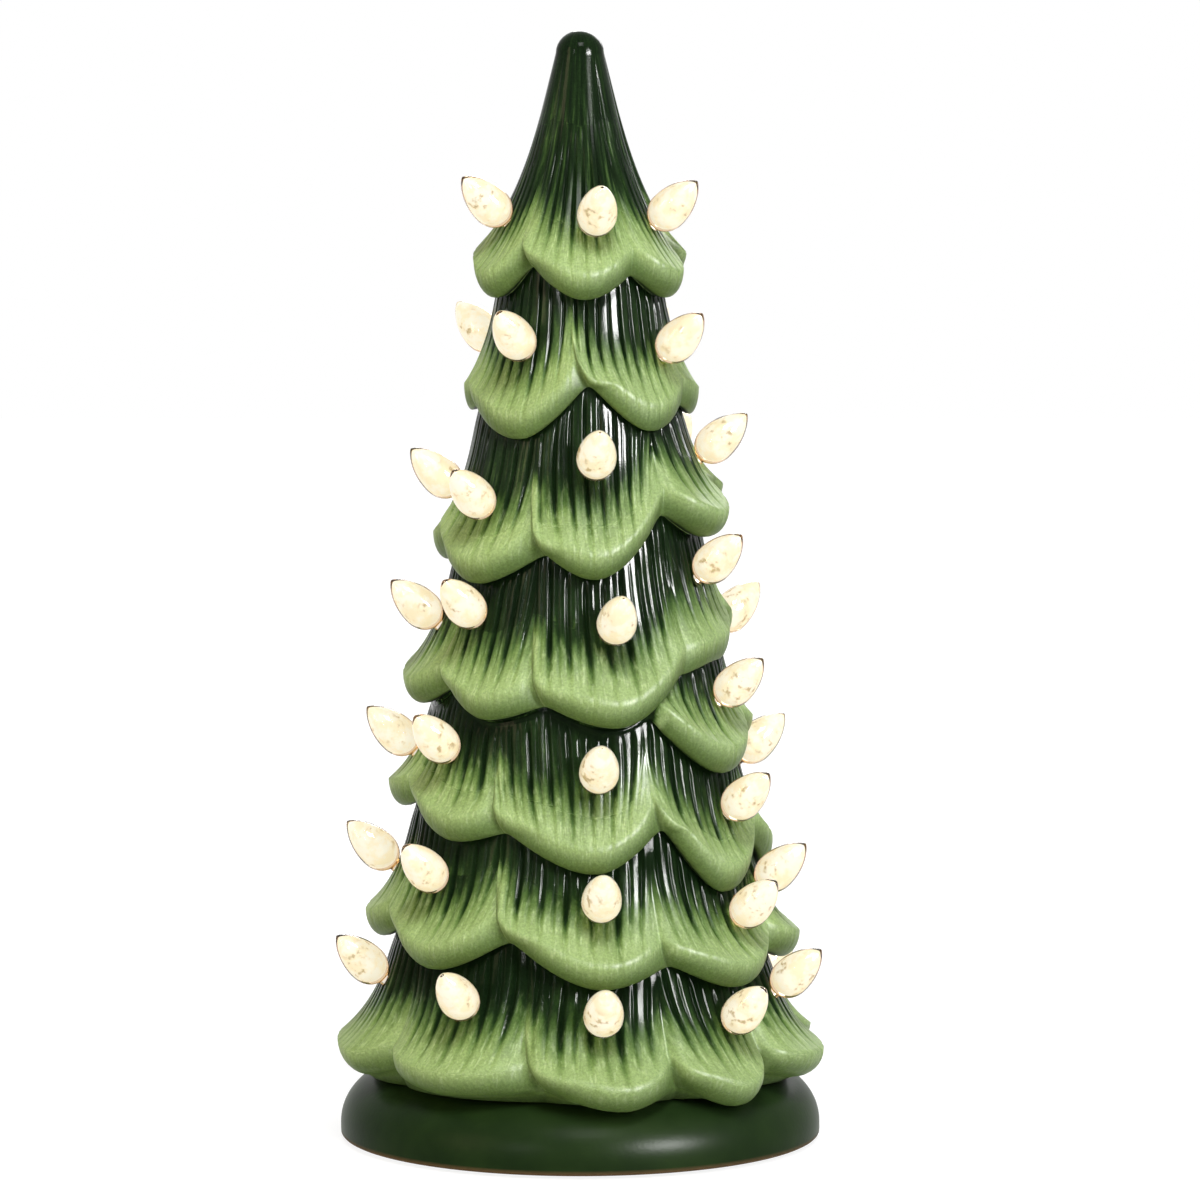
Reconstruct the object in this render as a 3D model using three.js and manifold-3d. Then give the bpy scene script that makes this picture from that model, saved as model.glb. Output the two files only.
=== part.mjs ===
// Tabletop tree of glazed ceramic with small plastic bulbs, on a round base with cells and a lamp.
// Millimetres, +Z up, base centre at the origin, front towards -Y. Angles run from the front to the right.
import * as THREE from "three";
import { mergeVertices } from "three/addons/utils/BufferGeometryUtils.js";
import Module from "manifold-3d";

const wasm = await Module();
wasm.setup();

// Running gap that keeps neighbouring pieces apart
const gap = 0.3;

// Base cover
const baseRadius = 65.3;
const baseLowEdge = 0.6;
const baseEdgeRound = 0.7;
const baseRimTop = 4;
const baseTop = 18.5;
const domeReach = 15.8;
const plateauRadius = baseRadius - domeReach;
const baseRoof = 3.5;
const baseWall = 4.5;
const baseInnerRadius = baseRadius - baseWall;
const baseShoulder = 9.5;
const roofInset = 2.5;
const baseRoofRadius = plateauRadius - roofInset;
const locatingClearance = 0.6;
const locatingWall = 2.5;
const locatingHeight = 3;
const lugWidth = 6.4;
const lugReach = 2;
const lugAngles = [90, 270];

// Base plate and what it carries
const plateClearance = 0.5;
const plateRadius = baseInnerRadius - plateClearance;
const plateLow = 1.2;
const plateTop = 4;
const footGrooveDepth = 1.1;
const footInset = 2.3;
const footWidth = 6;
const footOuter = plateRadius - footInset;
const footInner = footOuter - footWidth;
const padRadius = 5;
const padTop = 5.2;

// Cells of 10.3 by 44.5 with alternating ends
const cellRadius = 5.15;
const cellLength = 44.5;
const cellPitch = 10.8;
const buttonRadius = 1.9;
const buttonHeight = 1;
const cellRows = [-1, 0, 1];

// Cell bay
const cellEndRoom = 3.05;
const bayHalfLength = cellLength / 2 + cellEndRoom;
const openingInset = 2.4;
const openingHalfLength = bayHalfLength - openingInset;
const bayHalfWidth = 16.25;
const bayWall = 1.6;
const bayTop = 11;
const contactThickness = 0.8;
const contactTop = 12.6;
const contactHalfWidth = 15.6;
const springRadius = 3.2;
const springTipRadius = 2;
const springWire = 0.45;
const springTurns = 2.2;
const springLength = 3.1;

// Door of the cell bay
const doorPinRadius = 0.6;
const doorPinLength = 1.6;
const latchWidth = 12;
const latchReach = 3;
const latchThickness = 1.2;

// Slide switch
const switchInset = 14;
const switchY = -(footInner - switchInset);
const switchLength = 19;
const switchWidth = 8;
const switchHeight = 6;
const slotLength = 9;
const slotWidth = 4.2;
const knobLength = 5;
const knobWidth = 3.6;
const knobLow = 0.4;
const stemLength = 2.4;
const stemWidth = 1.6;
const stemTop = 6.5;
const switchTravel = 3;

// Screws
const screwInset = 6;
const screwCircle = footInner - screwInset;
const screwAngles = [60, 180, 300];
const screwHeadRadius = 2.7;
const screwHeadHeight = 1.4;
const screwShankRadius = 1.2;
const screwTop = 11;
const driverSlotWidth = 0.8;
const driverSlotDepth = 0.7;
const postRadius = 3.6;

// Lamp
const lensFlangeRadius = 20;
const lensFlangeThickness = 2;
const lensRadius = 13;
const lensTop = 54;
const lensWall = 2;
const lensSkirtWall = 2.2;
const lensSkirtLow = 15.2;
const boardRadius = 13.4;
const lensSkirtRadius = boardRadius + gap + lensSkirtWall;
const lampHoleRadius = lensSkirtRadius + 0.4;
const boardLow = 15.6;
const boardThickness = 1.6;
const ledRadius = 5;
const ledRimRadius = 5.8;
const ledRimHeight = 1.2;
const ledTop = 27;

// Tree shell, heights above its own foot
const footLevel = baseTop + gap;
const treeHeight = 281.2;
const topRadius = 6.5;
const topRound = 6;
const neckHeight = 207;
const neckRadius = 23;
const footOverhang = 1.5;
const footWall = 4.5;
const footRingRadius = plateauRadius + footOverhang;
const cavityFootRadius = footRingRadius - footWall;
const locatingRadius = cavityFootRadius - locatingClearance;
const footStep = 5.12;
const coneSlope = (footRingRadius + footStep - neckRadius) / neckHeight;
const wallThickness = 5;
const cavityTop = 266;
const cavityNeckDrop = 22;
const cavityTipDrop = 4;
const notchReach = 3;
const notchHeight = 3.6;

// Lip of a row: its nose stands out by the spread at a tip and by less at a valley
const valleySpread = 3.4;
const lipShare = 0.35;
const noseRise = 7.2;
const undercut = 1.2;
const lipRound = 1.45;
const valleyRound = 0.15;
const softEdge = 1.6;
const steepEdge = 4;

// The lowest row reaches out as far as the base, and its petals a little further
const skirt = baseRadius - (neckRadius + coneSlope * (neckHeight - noseRise));

// Flares: share of straight cone, and power of the curve that widens it
const topFlare = [0.6, 4];
const rowFlare = [0.5, 3.5];

// Ribs down the flares, deepest part of the way down and weaker on the nose
const ribCount = 46;
const ribDepth = 0.9;
const ribStart = 0.3;
const ribFull = 0.66;
const ribOnNose = 0.4;

// Each petal: angle and height of its tip, spread, angle and height of the valley that follows it
const rows = [
  [
    [-120, 211, 8.6, -92, 218],
    [-62, 210, 8.6, -33, 218.5],
    [3, 210, 8.2, 36, 216],
    [64, 210, 8.8, 92, 217],
    [120, 211, 8.6, 149, 218],
    [178, 210, 8.6, 209, 217.5],
  ],
  [
    [-98, 179, 5.2, -74, 181],
    [-33, 173, 5, 5, 187],
    [40, 175, 5, 70, 181],
    [95, 178, 5.6, 122, 185],
    [150, 179, 5, 178, 186],
    [205, 177, 5, 232, 185],
  ],
  [
    [-105, 138, 8, -78, 144],
    [-47, 134.5, 8, -15, 142.5],
    [6, 136.5, 8, 41, 152.5],
    [67, 146, 11, 96, 154],
    [124, 147, 10, 152, 154],
    [182, 144, 9, 212, 151],
  ],
  [
    [-80, 100.5, 9.2, -56, 106],
    [-35, 99, 7.6, -13, 103],
    [13, 97.5, 7.6, 44, 110.5],
    [66, 113, 5.2, 94, 119],
    [121, 107, 5.6, 148, 118],
    [175, 111, 6, 203, 115],
    [232, 100, 8.5, 256, 107],
  ],
  [
    [-77, 85, 7, 26, 98],
    [58, 83.5, 7.2, 90, 91],
    [118, 85, 7.2, 146, 92],
    [172, 86, 7.2, 204, 97],
  ],
  [
    [-93, 71.5, 8.6, -69, 75],
    [-43, 66.5, 7.6, -25, 69.5],
    [5, 59.5, 6.2, 28, 70],
    [51, 52.5, 6.4, 77, 63],
    [100, 54, 6.4, 124, 62],
    [148, 57, 6.6, 172, 65],
    [200, 64, 7.6, 233, 72],
  ],
  [
    [-91, 36, 9.2, -68, 41],
    [-46, 32.5, 8.6, -21, 41],
    [7, 29.5, 8.6, 27, 34.5],
    [50, 27.5, 9, 72, 34],
    [93, 30, 9.6, 116, 37],
    [140, 31, 9, 163, 38],
    [188, 31, 9, 208, 38],
    [228, 33, 9, 248, 40],
  ],
  [
    [-72, 1, skirt + 1.7, -58, 4],
    [-35, 0.5, skirt + 0.1, -9, 3],
    [11, -2, skirt + 1.1, 27, 3],
    [43, -3, skirt + 1.1, 58, 3],
    [76, 0, skirt + 2.3, 97, 5],
    [117, -1, skirt + 1.3, 137, 5],
    [157, -1.5, skirt + 1.3, 177, 5],
    [197, -1, skirt + 1.3, 217, 5],
    [242, 0, skirt + 1.5, 265, 5],
  ],
];

// The fifth row runs round only part of the tree: it starts and ends at these angles
const partRow = 4;
const partStart = 22;
const partEnd = 209;
const partFade = 10;

// Bulbs: angle and height of each seat above the shell's foot
const bulbSeats = [
  [-66, 232.3],
  [10, 230.3],
  [64, 231.3],
  [178, 230.3],
  [-33, 197.3],
  [55, 196.3],
  [145, 197.3],
  [236, 197.3],
  [-80, 159.3],
  [-45, 155.3],
  [7, 166.3],
  [88, 168.3],
  [140, 166.3],
  [205, 162.3],
  [-75, 124.3],
  [-45, 126.3],
  [13, 123.1],
  [62, 137.3],
  [116, 120.3],
  [178, 131.3],
  [63, 104.3],
  [102, 85.3],
  [160, 105.3],
  [-84, 89.3],
  [-50, 90.3],
  [6, 84.3],
  [58, 74.3],
  [212, 85.3],
  [-90, 57.3],
  [-48, 56.3],
  [6, 50.9],
  [54, 46.3],
  [75, 53.3],
  [142, 51.3],
  [205, 52.3],
  [-76, 28.3],
  [-32, 24.3],
  [6, 21.3],
  [45, 19.3],
  [72, 25.3],
  [122, 21.3],
  [190, 21.3],
];

// Bulb outline, radius and place along its axis, from the surface of the flare
const bulbTilt = 43;
const pegRadius = 2.5;
const pegLength = 5;
const bulbOutline = [
  [2.5, 2.8],
  [5.6, 6.6],
  [5.2, 11.8],
  [2.6, 17.4],
];
const bulbTip = 19.8;
const holeDepth = 16;

// Steps of the faceted solids
const shellSteps = 2 * ribCount;
const roundSteps = 36;
const smallSteps = 16;
const bulbSteps = 8;

const radians = THREE.MathUtils.degToRad;
const tree = new THREE.Group();
tree.name = "tabletop_tree";

const ceramicGreen = new THREE.MeshStandardMaterial({ color: 0x2a4b2a, roughness: 0.15 });
const bulbPlastic = new THREE.MeshStandardMaterial({ color: 0xfbf3dc, roughness: 0.2 });
const blackPlastic = new THREE.MeshStandardMaterial({ color: 0x26282a, roughness: 0.6 });
const whitePlastic = new THREE.MeshStandardMaterial({ color: 0xf2efe6, roughness: 0.4 });
const greyRubber = new THREE.MeshStandardMaterial({ color: 0x5a5a58, roughness: 0.9 });
const steel = new THREE.MeshStandardMaterial({ color: 0xb9bcc0, metalness: 1, roughness: 0.35 });
const cellSleeve = new THREE.MeshStandardMaterial({ color: 0x3f5f86, roughness: 0.4 });
const boardGreen = new THREE.MeshStandardMaterial({ color: 0xe8e6dc, roughness: 0.5 });

// Solids and meshes

function solid(geometry) {
  geometry.deleteAttribute("normal");
  geometry.deleteAttribute("uv");
  const merged = mergeVertices(geometry, 1e-4);
  return new wasm.Manifold(
    new wasm.Mesh({
      numProp: 3,
      vertProperties: new Float32Array(merged.attributes.position.array),
      triVerts: new Uint32Array(merged.index.array),
    }),
  );
}

function addNode(name, body, material) {
  const mesh = body.getMesh();
  const geometry = new THREE.BufferGeometry();
  geometry.setAttribute("position", new THREE.BufferAttribute(mesh.vertProperties, 3));
  geometry.setIndex(new THREE.BufferAttribute(mesh.triVerts, 1));
  geometry.computeVertexNormals();
  const node = new THREE.Mesh(geometry, material);
  node.name = name;
  tree.add(node);
}

function latheGeometry(outline, steps) {
  const points = outline.map(([r, z]) => new THREE.Vector2(r, z));
  return new THREE.LatheGeometry(points, steps).rotateX(Math.PI / 2);
}

// A body of revolution whose outline runs up its outside, from the axis to the axis
function turned(outline, steps = smallSteps) {
  return solid(latheGeometry(outline, steps));
}

function disc(radius, low, top, steps = smallSteps) {
  return turned([[0, low], [radius, low], [radius, top], [0, top]], steps);
}

function ring(inner, outer, low, top, steps = roundSteps) {
  return turned([[inner, low], [outer, low], [outer, top], [inner, top], [inner, low]], steps);
}

// A box between two corners
function block(x0, x1, y0, y1, z0, z1) {
  const box = new THREE.BoxGeometry(x1 - x0, y1 - y0, z1 - z0);
  box.translate((x0 + x1) / 2, (y0 + y1) / 2, (z0 + z1) / 2);
  return solid(box);
}

function union(bodies) {
  return bodies.reduce((joined, body) => joined.add(body));
}

function cut(body, tools) {
  return tools.reduce((left, tool) => left.subtract(tool), body);
}

// Places a body at an angle and radius about the tree's axis, its own -Y side facing out
function aroundAxis(body, angle, radius = 0) {
  return body.translate([0, -radius, 0]).rotate([0, 0, angle]);
}

// Tree shell

function coneRadius(z) {
  return neckRadius + coneSlope * (neckHeight - z);
}

// Lip height and spread of a row at an angle
function lipAt(petals, angle) {
  const from = petals[0][0];
  const turn = from + THREE.MathUtils.euclideanModulo(angle - from, 360);
  const i = petals.findLastIndex((petal) => petal[0] <= turn);
  const [tipAngle, tip, spread, valleyAngle, valley] = petals[i];
  const [nextStart, nextTip, nextSpread] = petals[(i + 1) % petals.length];
  const nextAngle = i + 1 === petals.length ? nextStart + 360 : nextStart;
  const before = turn < valleyAngle;
  const share = before
    ? (turn - tipAngle) / (valleyAngle - tipAngle)
    : (nextAngle - turn) / (nextAngle - valleyAngle);
  const nearTip = before ? tip : nextTip;
  const nearSpread = before ? spread : nextSpread;
  const rounded = (rise) => Math.hypot(rise, valleyRound) - valleyRound;
  const climb = 1 - rounded(1 - share ** lipRound) / rounded(1);
  return {
    height: nearTip + (valley - nearTip) * climb,
    spread: nearSpread + (valleySpread - nearSpread) * share ** (before ? softEdge : steepEdge),
  };
}

// How far the part row stands out at an angle, from 0 to 1
function partShare(angle) {
  const turn = THREE.MathUtils.euclideanModulo(angle + 90, 360) - 90;
  const rise = THREE.MathUtils.smoothstep((turn - partStart) / partFade, 0, 1);
  const fall = THREE.MathUtils.smoothstep((partEnd - turn) / partFade, 0, 1);
  return rise * fall;
}

// Start, nose, lip and crease of each row at an angle, as radius and height
function rowPoints(angle) {
  let start = [topRadius, treeHeight - topRound];
  return rows.map((petals, k) => {
    const { height, spread } = lipAt(petals, angle);
    let nose = [coneRadius(height + noseRise) + spread, height + noseRise];
    let lip = [coneRadius(height) + spread * lipShare, height];
    let crease = [coneRadius(height + undercut), height + undercut];
    if (k === partRow) {
      const share = partShare(angle);
      const flatten = (point, drop) => {
        const z = start[1] - drop;
        const r = coneRadius(z);
        return [r + (point[0] - r) * share, z + (point[1] - z) * share];
      };
      [nose, lip, crease] = [flatten(nose, 1), flatten(lip, 2), flatten(crease, 3)];
    }
    if (k === rows.length - 1) crease = [footRingRadius, 0];
    const row = { start, nose, lip, crease, ribs: k === partRow ? partShare(angle) : 1 };
    start = crease;
    return row;
  });
}

function flarePoint({ start, nose }, share, [straight, power]) {
  const widening = straight * share + (1 - straight) * share ** power;
  return [
    start[0] + (nose[0] - start[0]) * widening,
    start[1] + (nose[1] - start[1]) * share,
  ];
}

// Height of a rib's ridge over the mean surface at a share of the way down a flare
function ribHeight(share) {
  const rise = THREE.MathUtils.smoothstep(share, ribStart, ribFull);
  const fall = (1 - ribOnNose) * THREE.MathUtils.smoothstep(share, ribFull, 1);
  return (ribDepth / 2) * (rise - fall);
}

// Outline of one row: flare, round nose, lip and the step in to the next row; side is 1 on a ridge, -1 in a groove
function rowOutline(row, k, side) {
  const { nose, lip, crease, ribs } = row;
  const shares = k === 0 ? [0, 0.4, 0.7, 0.87, 1] : [ribFull, 1];
  const flare = shares.map((share) => {
    const [r, z] = flarePoint(row, share, k === 0 ? topFlare : rowFlare);
    return [r + side * ribs * ribHeight(share), z];
  });
  const round = [45].map((turn) => [
    lip[0] + (nose[0] - lip[0]) * Math.cos(radians(turn)),
    nose[1] - (nose[1] - lip[1]) * Math.sin(radians(turn)),
  ]);
  const behind = k === rows.length - 1 ? [[lip[0] - 2, crease[1] - 0.4]] : [];
  return [...flare, ...round, lip, ...behind, crease];
}

// Angles of a row's outlines: even steps, with the nearest ones moved onto its tips and valleys
function outlineAngles(petals) {
  const step = 360 / shellSteps;
  const angles = Array.from({ length: shellSteps }, (unused, j) => j * step);
  for (const mark of petals.flatMap(([tipAngle, , , valleyAngle]) => [tipAngle, valleyAngle])) {
    const j = Math.round(THREE.MathUtils.euclideanModulo(mark, 360) / step) % shellSteps;
    angles[j] = mark;
  }
  return angles;
}

// One outline from the top of the tree to the middle of its foot, as angle, radius and height
function shellOutline(j, angles) {
  const crownTurn = radians(50);
  const crown = [topRadius * Math.sin(crownTurn), treeHeight - topRound * (1 - Math.cos(crownTurn))];
  const even = (j * 360) / shellSteps;
  const side = j % 2 === 0 ? 1 : -1;
  const outline = [[even, 0, treeHeight], [even, ...crown]];
  rows.forEach((petals, k) => {
    const angle = angles[k][j];
    const row = rowPoints(angle)[k];
    outline.push(...rowOutline(row, k, side).map((point) => [angle, ...point]));
  });
  return [...outline, [even, 0, 0]];
}

// The closed outer form, its outlines joined round the axis
function outerForm() {
  const rowAngles = rows.map(outlineAngles);
  const points = [];
  let rings = 0;
  for (let j = 0; j < shellSteps; j++) {
    const outline = shellOutline(j, rowAngles);
    rings = outline.length;
    for (const [angle, r, z] of outline) {
      points.push(r * Math.sin(radians(angle)), -r * Math.cos(radians(angle)), z);
    }
  }
  const faces = [];
  for (let j = 0; j < shellSteps; j++) {
    const here = j * rings;
    const next = ((j + 1) % shellSteps) * rings;
    for (let i = 0; i + 1 < rings; i++) {
      if (i + 2 < rings) faces.push(here + i, here + i + 1, next + i + 1);
      if (i > 0) faces.push(here + i, next + i + 1, next + i);
    }
  }
  const geometry = new THREE.BufferGeometry();
  geometry.setAttribute("position", new THREE.Float32BufferAttribute(points, 3));
  geometry.setIndex(faces);
  return solid(geometry);
}

function cavity() {
  const shoulder = neckHeight;
  const shoulderRadius = coneRadius(shoulder) - wallThickness;
  const outline = [
    [0, -1],
    [cavityFootRadius, -1],
    [cavityFootRadius, notchHeight],
    [coneRadius(notchHeight) - wallThickness - 3, notchHeight + 4],
    [shoulderRadius, shoulder],
    [topRadius, cavityTop - cavityNeckDrop],
    [topRadius / 2, cavityTop - cavityTipDrop],
    [0, cavityTop],
  ];
  return turned(outline, 32);
}

function seatNotch(angle) {
  const half = lugWidth / 2 + gap;
  const outer = cavityFootRadius + notchReach;
  return aroundAxis(block(-half, half, -outer, -cavityFootRadius + 3, -1, notchHeight), angle);
}

// Outer radius of the flares at an angle and height
function surfaceRadius(angle, z) {
  const points = rowPoints(angle);
  const k = points.findIndex((row) => z > row.nose[1]);
  const { start, nose } = points[k];
  const share = Math.max(0, (start[1] - z) / (start[1] - nose[1]));
  return flarePoint(points[k], share, k === 0 ? topFlare : rowFlare)[0];
}

// Moves a body that stands on the origin onto a seat, with its axis outwards and up
function onSeat(body, [angle, z]) {
  const radius = surfaceRadius(angle, z);
  return aroundAxis(body.rotate([90 - bulbTilt, 0, 0]).translate([0, 0, z]), angle, radius);
}

function bulb() {
  const tip = [0, bulbTip];
  return turned([[0, -pegLength], [pegRadius, -pegLength], ...bulbOutline, tip], bulbSteps);
}

// Hole for a bulb's peg, opened out to clear the bulb above it
function bulbSeat() {
  const holeRadius = pegRadius + gap;
  const widest = bulbOutline[1];
  const outline = [
    [0, -holeDepth],
    [holeRadius, -holeDepth],
    [holeRadius, bulbOutline[0][1] - gap],
    [widest[0] + gap, widest[1] - gap],
    [widest[0] + gap, bulbTip],
    [0, bulbTip],
  ];
  return turned(outline, bulbSteps);
}

function addTree() {
  const lift = (body) => body.translate([0, 0, footLevel]);
  const notches = lugAngles.map(seatNotch);
  const seats = bulbSeats.map((seat) => onSeat(bulbSeat(), seat));
  addNode("tree_shell", lift(cut(outerForm(), [cavity(), ...notches, ...seats])), ceramicGreen);
  bulbSeats.forEach((seat, i) => {
    const name = "bulb_" + String(i + 1).padStart(2, "0");
    addNode(name, lift(onSeat(bulb(), seat)), bulbPlastic);
  });
}

// Base

function domePoint(turn) {
  return [
    plateauRadius + (baseRadius - plateauRadius) * Math.cos(radians(turn)),
    baseRimTop + (baseTop - baseRimTop) * Math.sin(radians(turn)),
  ];
}

function baseCover() {
  const roofLow = baseTop - baseRoof;
  const outline = [
    [baseInnerRadius, baseLowEdge],
    [baseRadius - baseEdgeRound, baseLowEdge],
    [baseRadius, baseLowEdge + baseEdgeRound],
    ...[0, 25, 50, 70, 90].map(domePoint),
    [locatingRadius, baseTop],
    [locatingRadius, baseTop + locatingHeight],
    [locatingRadius - locatingWall, baseTop + locatingHeight],
    [locatingRadius - locatingWall, baseTop],
    [lampHoleRadius, baseTop],
    [lampHoleRadius, roofLow],
    [baseRoofRadius, roofLow],
    [baseInnerRadius, baseShoulder],
    [baseInnerRadius, baseLowEdge],
  ];
  const lugTop = baseTop + locatingHeight;
  const lugOuter = locatingRadius + lugReach;
  const lug = block(-lugWidth / 2, lugWidth / 2, -lugOuter, -locatingRadius + 1, baseTop - 1, lugTop);
  const post = disc(postRadius, padTop + gap, roofLow + 1);
  const pilot = disc(screwShankRadius + gap, plateTop, screwTop + 1, 8);
  const cover = union([
    turned(outline, roundSteps),
    ...lugAngles.map((angle) => aroundAxis(lug, angle)),
    ...screwAngles.map((angle) => aroundAxis(post, angle, screwCircle)),
  ]);
  return cut(cover, screwAngles.map((angle) => aroundAxis(pilot, angle, screwCircle)));
}

const doorHalfLength = openingHalfLength - gap;
const doorHalfWidth = bayHalfWidth - gap;
const doorThickness = plateTop - plateLow;
const hingeZ = (plateLow + plateTop) / 2;
const hingeY = doorHalfWidth - doorThickness / 2;

// A round bar along X
function barX(radius, x0, x1, y, z, steps = 12) {
  return disc(radius, x0, x1, steps).rotate([0, 90, 0]).translate([0, y, z]);
}

function latch(grow) {
  const half = latchWidth / 2 + grow;
  const reach = doorHalfWidth + latchReach + grow;
  const top = plateLow + latchThickness + grow;
  return block(-half, half, -reach, -doorHalfWidth + 1 + grow, plateLow - grow, top);
}

function basePlate() {
  const wallX = bayHalfLength + bayWall;
  const wallY = bayHalfWidth + bayWall;
  const bay = cut(block(-wallX, wallX, -wallY, wallY, plateTop - 1, bayTop), [
    block(-bayHalfLength, bayHalfLength, -bayHalfWidth, bayHalfWidth, plateTop - 2, bayTop + 1),
  ]);
  const pad = disc(padRadius, plateTop - 1, padTop);
  const plate = union([
    disc(plateRadius, plateLow, plateTop, roundSteps),
    bay,
    ...screwAngles.map((angle) => aroundAxis(pad, angle, screwCircle)),
  ]);
  const screwHole = turned(
    [
      [0, 0],
      [screwHeadRadius + gap, 0],
      [screwHeadRadius + gap, plateLow + screwHeadHeight + 2 * gap],
      [screwShankRadius + gap, plateLow + screwHeadHeight + 2 * gap],
      [screwShankRadius + gap, padTop + 1],
      [0, padTop + 1],
    ],
    smallSteps,
  );
  const pinReach = doorHalfLength + doorPinLength + gap;
  return cut(plate, [
    block(-openingHalfLength, openingHalfLength, -bayHalfWidth, bayHalfWidth, 0, plateTop + 1),
    ring(footInner - gap, footOuter + gap, 0, plateLow + footGrooveDepth),
    block(-slotLength / 2, slotLength / 2, switchY - slotWidth / 2, switchY + slotWidth / 2, 0, plateTop + 1),
    barX(doorPinRadius + gap, -pinReach, pinReach, hingeY, hingeZ),
    latch(gap),
    ...screwAngles.map((angle) => aroundAxis(screwHole, angle, screwCircle)),
  ]);
}

// The door turns on pins at its back edge, which is round about the same axis
function batteryDoor() {
  const panel = block(-doorHalfLength, doorHalfLength, -doorHalfWidth, hingeY, plateLow, plateTop);
  const edge = barX(doorThickness / 2, -doorHalfLength, doorHalfLength, hingeY, hingeZ, smallSteps);
  const pinReach = doorHalfLength + doorPinLength;
  const pins = barX(doorPinRadius, -pinReach, pinReach, hingeY, hingeZ);
  const grip = block(-5, 5, -doorHalfWidth + 3, -doorHalfWidth + 5, plateLow - 1, plateLow + 0.8);
  return cut(union([panel, edge, pins, latch(0)]), [grip, grip.translate([0, 4, 0])]);
}

const cellZ = plateTop + gap + cellRadius;
const contactX = bayHalfLength - gap - contactThickness;

function cell(row) {
  const middle = cellRadius - 0.6;
  const outline = [
    [0, 0],
    [middle, 0],
    [cellRadius, 0.6],
    [cellRadius, cellLength - buttonHeight],
    [buttonRadius, cellLength - buttonHeight],
    [buttonRadius, cellLength],
    [0, cellLength],
  ];
  const side = row === 0 ? -1 : 1;
  const start = contactX - gap - cellLength;
  const lying = turned(outline).rotate([0, 90, 0]).translate([start, 0, 0]);
  return lying.rotate([0, 0, side > 0 ? 0 : 180]).translate([0, row * cellPitch, cellZ]);
}

// A conical spring of round wire that stands on a contact strip
function spring() {
  const steps = 18;
  const turns = Array.from({ length: steps + 1 }, (_, i) => {
    const share = i / steps;
    const radius = springRadius + (springTipRadius - springRadius) * share;
    const turn = share * springTurns * 2 * Math.PI;
    return new THREE.Vector3(
      -0.2 - share * springLength,
      radius * Math.cos(turn),
      radius * Math.sin(turn),
    );
  });
  const path = new THREE.CatmullRomCurve3(turns);
  const wire = new THREE.Shape();
  wire.absarc(0, 0, springWire, 0, 2 * Math.PI);
  const options = { steps, extrudePath: path, curveSegments: 2, bevelEnabled: false };
  return solid(new THREE.ExtrudeGeometry(wire, options));
}

// A strip at the +X end of the bay, with a spring for each cell whose flat end faces it
function contactStrip(springRows) {
  const outerX = contactX + contactThickness;
  const strip = block(contactX, outerX, -contactHalfWidth, contactHalfWidth, plateTop + gap, contactTop);
  const springs = springRows.map((row) => spring().translate([contactX, row * cellPitch, cellZ]));
  return union([strip, ...springs]);
}

function screw() {
  const headTop = plateLow + screwHeadHeight + gap;
  const outline = [
    [0, plateLow + gap],
    [screwHeadRadius, plateLow + gap],
    [screwHeadRadius, headTop],
    [screwShankRadius, headTop],
    [screwShankRadius, screwTop - 1.5],
    [0, screwTop],
  ];
  const reach = screwHeadRadius + 1;
  const half = driverSlotWidth / 2;
  const slotTop = plateLow + gap + driverSlotDepth;
  return cut(turned(outline, 12), [block(-reach, reach, -half, half, 0, slotTop)]);
}

function switchBody() {
  const low = plateTop + gap;
  const halfLength = switchLength / 2;
  const body = block(-halfLength, halfLength, -switchWidth / 2, switchWidth / 2, low, low + switchHeight);
  const room = stemLength / 2 + switchTravel / 2 + gap;
  const side = stemWidth / 2 + gap;
  return cut(body, [block(-room, room, -side, side, 0, stemTop + gap)]).translate([0, switchY, 0]);
}

// The knob is at the off end of its travel
function switchKnob() {
  const grip = block(-knobLength / 2, knobLength / 2, -knobWidth / 2, knobWidth / 2, knobLow, plateTop);
  const stem = block(-stemLength / 2, stemLength / 2, -stemWidth / 2, stemWidth / 2, plateTop - 1, stemTop);
  const groove = block(-0.4, 0.4, -knobWidth, knobWidth, 0, knobLow + 0.5);
  return cut(union([grip, stem]), [groove]).translate([-switchTravel / 2, switchY, 0]);
}

function lampLens() {
  const flangeLow = baseTop + gap;
  const flangeTop = flangeLow + lensFlangeThickness;
  const domeLow = lensTop - lensRadius;
  const inner = lensRadius - lensWall;
  const dome = (radius, turns) =>
    turns.map((turn) => [radius * Math.cos(radians(turn)), domeLow + radius * Math.sin(radians(turn))]);
  const outline = [
    [boardRadius + gap, lensSkirtLow],
    [lensSkirtRadius, lensSkirtLow],
    [lensSkirtRadius, flangeLow],
    [lensFlangeRadius, flangeLow],
    [lensFlangeRadius, flangeTop],
    [lensRadius, flangeTop],
    ...dome(lensRadius, [0, 35, 65, 90]),
    ...dome(inner, [90, 50, 0]),
    [inner, flangeLow],
    [boardRadius + gap, flangeLow - 1],
    [boardRadius + gap, lensSkirtLow],
  ];
  return turned(outline, 20);
}

function ledLamp() {
  const low = boardLow + boardThickness + gap;
  const domeLow = ledTop - ledRadius;
  const outline = [
    [0, low],
    [ledRimRadius, low],
    [ledRimRadius, low + ledRimHeight],
    [ledRadius, low + ledRimHeight],
    [ledRadius, domeLow],
    [ledRadius * Math.cos(radians(45)), domeLow + ledRadius * Math.sin(radians(45))],
    [0, ledTop],
  ];
  return turned(outline);
}

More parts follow.
